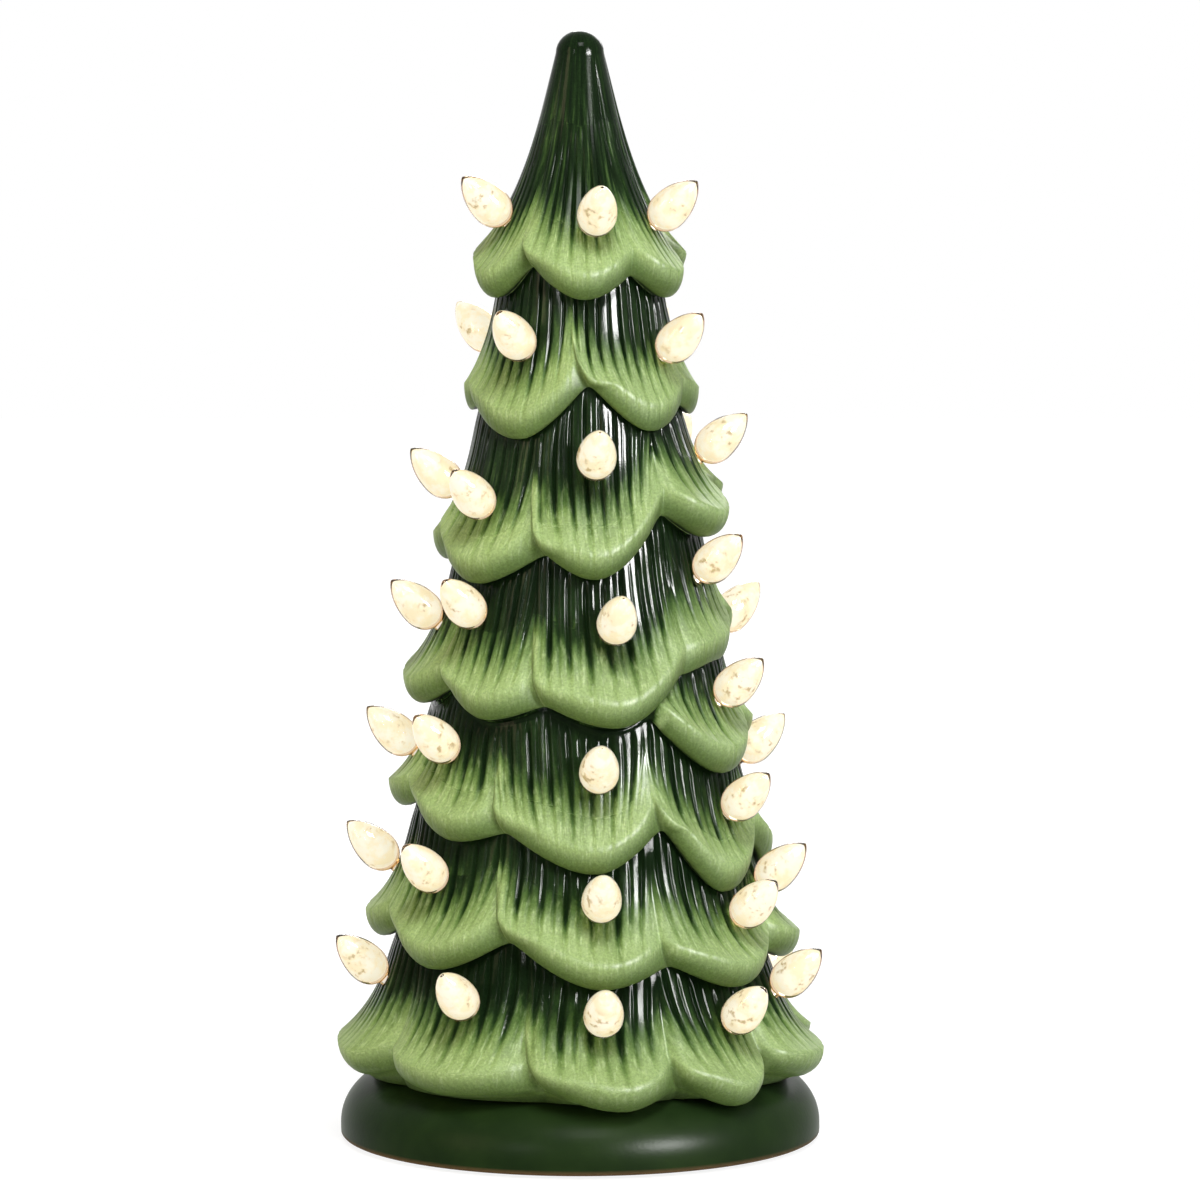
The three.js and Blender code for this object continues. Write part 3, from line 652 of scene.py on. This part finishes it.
def edge_form(beside, z, above, share, radius):
    """What a petal's left edge does beside its fold: radius to add, line of painted highlight, calm and the
    glaze's place.
    """
    inward = np.radians(beside["past"]) * radius
    height, reach = beside["edge"]
    rise = np.clip((z - beside["valley"]) / height, 0, 1.5)
    strength = smoothstep((height - 4) / 8) * (1 - smoothstep((rise - 0.6) / 0.6))
    strength = strength * smoothstep((share - 0.05) / 0.2)
    proud = smoothstep(inward / 0.5 + 0.5)
    raised = EDGE_RISE * proud * (1 - smoothstep(inward / EDGE_WIDTH))
    sunk = EDGE_SINK * (1 - proud) * np.exp(np.minimum(inward, 0) / 3.0)
    line = strength * np.exp(-(((inward - 0.5) / 0.45) ** 2))
    calm = strength * (1 - proud) * np.exp(np.minimum(inward, 0) / 4.0)
    valley = (1 - strength) * smoothstep((share - 0.3) / 0.4) * np.exp(-((inward / 3.5) ** 2))
    calm = np.maximum(calm, valley)
    glaze = above + (np.minimum(above, 1.5 + 2.4 * np.maximum(inward, 0)) - above) * strength * proud
    return (raised - sunk) * strength, line, calm, glaze


def row_points(row, start, angles, z=None):
    """Nose, lip and crease of a row, each as radius and height, its lip height and what lies beside."""
    read_at = angles if z is None else leaned(row, angles, z)
    height, spread, beside = lip_at(row, read_at)
    nose = np.stack([cone_radius(height + NOSE_RISE) + spread, height + NOSE_RISE])
    lip = np.stack([cone_radius(height) + spread * LIP_SHARE, height])
    crease = np.stack([cone_radius(height + UNDERCUT), height + UNDERCUT])
    if row == PART_ROW:
        flat = []
        for point, drop in ((nose, 1.0), (lip, 2.0), (crease, 3.0)):
            level = start[1] - drop
            rest = np.stack([cone_radius(level), level])
            flat.append(rest + (point - rest) * part_share(angles))
        nose, lip, crease = flat
    return nose, lip, crease, height, beside


def row_rings(row, start, angles):
    """The rings of one row from its start to its crease, and the next row's start."""
    plain_nose, plain_lip, crease, _, _ = row_points(row, start, angles)
    strength = part_share(angles) if row == PART_ROW else np.ones(len(angles))
    last = row == len(ROWS) - 1
    if last:
        crease = np.stack([np.full(len(angles), FOOT_RING_RADIUS), np.zeros(len(angles))])
    straight, power = TOP_FLARE if row == 0 else ROW_FLARE
    rings = []

    def add_ring(radius, z, height, beside, form, rib, share, round_share=1.0):
        groove, shade, place = form
        # top runs from 0 under the lip above to 1 at the nose, and sets the painted shade under each lip
        top = share if row else TOP_START + (1 - TOP_START) * share
        shift, line, calm, glaze = edge_form(beside, z, z - height, share, cone_radius(height))
        radius = radius + shift * strength * round_share
        radius = radius + RIB_DEPTH * rib * (RIB_SWELL - groove * (1 - calm)) * (0.3 + 0.7 * strength)
        glaze = glaze + (FAR_ABOVE - glaze) * (1 - strength)
        # The thin line along a petal's left edge is painted pale in the glaze as a highlight
        edge_highlight = line * round_share * strength
        rings.append(ring_values(radius, z, glaze, shade * (1 - calm), edge_highlight, place, top))

    rise_from, rise_over = RIB_RISE if row else TOP_RIB_RISE
    for share in np.linspace(0, 1, (FLARE_STEPS if row else TOP_FLARE_STEPS) + 1)[1:]:
        level = start[1] + (plain_nose[1] - start[1]) * share
        nose, _, _, height, beside = row_points(row, start, angles, level)
        widening = straight * share + (1 - straight) * share**power
        radius = start[0] + (nose[0] - start[0]) * widening
        z = start[1] + (nose[1] - start[1]) * share
        groove, shade, place = ribs(angles, beside, share, row)
        rise = smoothstep((share - rise_from) / rise_over)
        fade = rise * (1 - NOSE_RIB_LOSS * smoothstep((share - RIB_FALL[0]) / RIB_FALL[1]))
        add_ring(radius, z, height, beside, (groove, shade * (0.35 + 0.65 * fade), place), fade, share)
    for turn in np.radians(np.linspace(0, 90, LIP_STEPS + 1)[1:]):
        level = plain_nose[1] - (plain_nose[1] - plain_lip[1]) * np.sin(turn)
        nose, lip, _, height, beside = row_points(row, start, angles, level)
        radius = lip[0] + (nose[0] - lip[0]) * np.cos(turn)
        z = nose[1] - (nose[1] - lip[1]) * np.sin(turn)
        fade = np.cos(turn) ** 2
        form = (groove, shade * 0.35 * fade, place)
        add_ring(radius, z, height, beside, form, (1 - NOSE_RIB_LOSS) * fade, 1.0, np.cos(turn) ** 0.5)
    behind = plain_lip
    if last:
        behind = np.stack([plain_lip[0] - 2.0, np.full(len(angles), -0.4)])
        for share in (0.5, 1.0):
            radius = plain_lip[0] + (behind[0] - plain_lip[0]) * share
            z = plain_lip[1] + (behind[1] - plain_lip[1]) * share
            rings.append(ring_values(radius, z, -2.0, 0.0, 0.0, place, 1.0))
    for turn in np.radians((30, 60, 90)):
        radius = behind[0] - (behind[0] - crease[0]) * np.sin(turn)
        z = crease[1] - (crease[1] - behind[1]) * np.cos(turn)
        glaze = BEHIND_LIP + (FAR_ABOVE - BEHIND_LIP) * (1 - strength)
        rings.append(ring_values(radius, z, glaze, 0.0, 0.0, place, 0.0))
    return rings, crease


def ring_values(radius, z, glaze, groove, edge_highlight, place, top):
    """One ring: radius, height, and what the glaze reads, each as a value per column."""
    ones = np.ones(SKIN_COLUMNS)
    return [np.asarray(value, float) * ones for value in (radius, z, glaze, groove, edge_highlight, place, top)]


def tree_skin(material):
    """The fluted outer form, then the foot and the hollow, as one closed sheet."""
    angles = np.arange(SKIN_COLUMNS) * 360 / SKIN_COLUMNS
    ones = np.ones(SKIN_COLUMNS)
    rings = []
    top_place = ribs(angles, lip_at(0, angles)[2], 0.0, 0)[2]
    for turn in np.radians(np.linspace(0, 90, 9)):
        radius = max(TOP_RADIUS * math.sin(turn), 1e-4)
        z = TREE_HEIGHT - TOP_ROUND * (1 - math.cos(turn))
        rings.append(ring_values(radius, z, FAR_ABOVE, 0.3, 0.0, top_place, TOP_START))
    start = np.stack([TOP_RADIUS * ones, (TREE_HEIGHT - TOP_ROUND) * ones])
    for row in range(len(ROWS)):
        made, start = row_rings(row, start, angles)
        rings += made
    for radius, z in ((FOOT_RING_RADIUS - 2.2, 0.0), (CAVITY_FOOT_RADIUS, 0.0)) + CAVITY:
        rings.append(ring_values(max(radius, 1e-4), z, INSIDE, 0.0, 0.0, 0.0, 0.0))
    radius, z, glaze, groove, edge_highlight, place, top = np.array(rings).transpose(1, 0, 2)
    turns = np.radians(angles)
    points = np.stack([radius * np.sin(turns), -radius * np.cos(turns), z + FOOT_LEVEL], 2)
    band = np.arange(len(rings))[:, None] // STREAK_BAND * STREAK_SHIFT + 0 * z
    flow = np.stack([place * STREAK_SCALE[0], z * STREAK_SCALE[1], band], 2)
    attributes = {
        "glaze": glaze.ravel(),
        "groove": groove.ravel(),
        "edge_highlight": edge_highlight.ravel(),
        "top": top.ravel(),
        "flow": flow.reshape(-1, 3),
    }
    faces = grid_faces(len(rings), SKIN_COLUMNS)
    skin = mesh_object("tree_skin", points.reshape(-1, 3), faces, material, attributes)
    merge_close(skin)
    return skin


# Bulbs


def bulb_outline(share=1.0, tip=BULB_LENGTH):
    """(radius, place along the axis) of the egg-shaped part, from its round end to its tip."""
    outline = []
    for turn in np.radians(np.linspace(0, 90, 12)[1:-1]):
        z = BULB_MIDDLE - BULB_ROUND * share * math.cos(turn)
        outline.append((BULB_RADIUS * share * math.sin(turn), z))
    for v in 1 - np.linspace(1, 0, 18) ** 1.6:
        z = BULB_MIDDLE + (tip - BULB_MIDDLE) * v
        outline.append((BULB_RADIUS * share * max(1 - v * v, 0) ** BULB_POINT, z))
    return outline


def glass_outline():
    """The egg with its peg below."""
    radius, foot = BULB_PEG
    egg = [point for point in bulb_outline() if point[0] > radius + 0.3 or point[1] > BULB_MIDDLE]
    return [(radius, foot), (radius, egg[0][1] - 0.4), *egg]


def bulb_frame(node):
    """Seat and axis of a bulb's solid: its tip is its point farthest from the tree's axis."""
    points = np.array([v.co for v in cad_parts[node].data.vertices])
    tip = points[np.argmax(np.hypot(points[:, 0], points[:, 1]))]
    around = math.atan2(tip[0], -tip[1])
    tilt = math.radians(BULB_TILT)
    out = math.cos(tilt)
    axis = np.array([out * math.sin(around), -out * math.cos(around), math.sin(tilt)])
    return tip / MM - axis * BULB_LENGTH, axis


def bulb_body(name, seat, axis, outline, material, columns):
    side = np.cross([0, 0, 1.0], axis)
    side /= np.linalg.norm(side)
    up = np.cross(axis, side)
    angles = np.arange(columns) * 2 * math.pi / columns
    points, along = [], []
    for radius, z in reversed(outline):
        across = np.outer(np.cos(angles), side) + np.outer(np.sin(angles), up)
        points.append(seat + axis * z + max(radius, 1e-4) * across)
        along.append(np.full(columns, z / BULB_LENGTH))
    faces = grid_faces(len(outline), columns)
    faces.append(tuple(range((len(outline) - 1) * columns, len(outline) * columns))[::-1])
    piece = mesh_object(name, np.concatenate(points), faces, material, {"along": np.concatenate(along)})
    merge_close(piece)
    return piece


# Base


def arc(centre, radii, first, last, steps):
    turns = np.radians(np.linspace(first, last, steps))
    return [(centre[0] + radii[0] * math.cos(t), centre[1] + radii[1] * math.sin(t)) for t in turns]


def base_body(material):
    """The domed disc with its locating ring, lamp hole and hollow underside."""
    outline = [(16.3, 18.5), (43.4, 18.5), (43.4, 21.0), (43.8, 21.5)]
    outline += [(45.4, 21.5), (45.9, 21.0), (45.9, 18.5)]
    outline += arc((49.5, 4.0), (15.8, 14.5), 90, 0, 28)
    outline += [(65.3, 2.2)] + arc((64.1, 1.8), (1.2, 1.2), 0, -90, 6)[1:]
    outline += [(60.8, 0.6), (60.8, 9.5), (47.0, 15.0), (16.3, 15.0)]
    return turned("base_body", outline, material, 180)


# Studio


def area_light(name, place, size, power, colour, only_gloss):
    data = bpy.data.lights.new(name, "AREA")
    data.shape = "RECTANGLE"
    data.size, data.size_y = size
    data.energy = power
    data.color = colour
    lamp = bpy.data.objects.new(name, data)
    direction = Vector(LAMP_AIM) - Vector(place)
    lamp.location = place
    lamp.rotation_euler = direction.to_track_quat("-Z", "Y").to_euler()
    lamp.visible_diffuse = not only_gloss
    lamp.visible_transmission = not only_gloss
    bpy.context.scene.collection.objects.link(lamp)


def studio():
    scene = bpy.context.scene
    scene.view_settings.view_transform = "Standard"
    world = bpy.data.worlds.new("studio")
    world.use_nodes = True
    scene.world = world
    tree = world.node_tree
    tree.nodes.clear()
    seen = seen_ray(tree)
    strength = add(tree, "MapRange", {"Value": seen, "To Min": SKY_LIGHT, "To Max": SKY_SEEN}).outputs[0]
    sky = add(tree, "Background", {"Color": (1, 1, 1, 1), "Strength": strength})
    add(tree, "OutputWorld", {"Surface": sky.outputs[0]})
    for lamp in LAMPS:
        area_light(*lamp)
    corners = [(x * FLOOR_HALF, y * FLOOR_HALF, FLOOR_LEVEL) for x, y in ((-1, -1), (1, -1), (1, 1), (-1, 1))]
    floor = mesh_object("floor", corners, [(0, 1, 2, 3)], floor_material(), smooth=False)
    camera_data = bpy.data.cameras.new("camera")
    camera_data.lens = LENS
    camera_data.sensor_width = 36.0
    camera = bpy.data.objects.new("camera", camera_data)
    camera.location = (CAMERA_X, -CAMERA_DISTANCE, CAMERA_HEIGHT)
    pitch = math.atan2(CAMERA_HEIGHT - AIM_HEIGHT, CAMERA_DISTANCE)
    camera.rotation_euler = (math.pi / 2 - pitch, 0, 0)
    scene.collection.objects.link(camera)
    scene.camera = camera


# Assembly


def dress_tree():
    skin = tree_skin(tree_glaze())
    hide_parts("tree_shell")
    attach(skin, "tree")
    shell, core = bulb_shell(), bulb_core()
    for node in sorted(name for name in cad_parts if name.startswith("bulb_")):
        seat, axis = bulb_frame(node)
        outer = bulb_body(node.replace("bulb", "lit_bulb"), seat, axis, glass_outline(), shell, 32)
        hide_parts(node)
        outline = bulb_outline(CORE_SHARE, CORE_TIP)
        inner = bulb_body(node.replace("bulb", "bulb_core"), seat, axis, outline, core, 24)
        for piece in (outer, inner):
            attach(piece, "tree")


def dress_base():
    body = base_body(base_glaze())
    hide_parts("base_cover")
    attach(body, "base")
    black = moulded_plastic("black_plastic", (34, 34, 36), 0.5)
    white = moulded_plastic("white_plastic", (232, 229, 220), 0.35)
    frosted = moulded_plastic("frosted_plastic", (240, 236, 224), 0.55, 3200.0)
    rubber = moulded_plastic("grey_rubber", (78, 78, 75), 0.8, 1400.0, 0.00008)
    sleeve = moulded_plastic("cell_sleeve", (62, 92, 134), 0.3)
    steel = bright_steel()
    finishes = (
        (black, ("base_plate", "battery_door", "switch_body")),
        (white, ("switch_knob", "led_board", "led_lamp")),
        (frosted, ("lamp_lens",)),
        (rubber, ("foot_ring",)),
        (steel, ("contact_strip_1", "contact_strip_2", "screw_1", "screw_2", "screw_3")),
        (sleeve, ("battery_cell_1", "battery_cell_2", "battery_cell_3")),
    )
    for finish, nodes in finishes:
        for node in nodes:
            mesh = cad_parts[node].data
            mesh.materials.clear()
            mesh.materials.append(finish)


studio()
dress_tree()
dress_base()
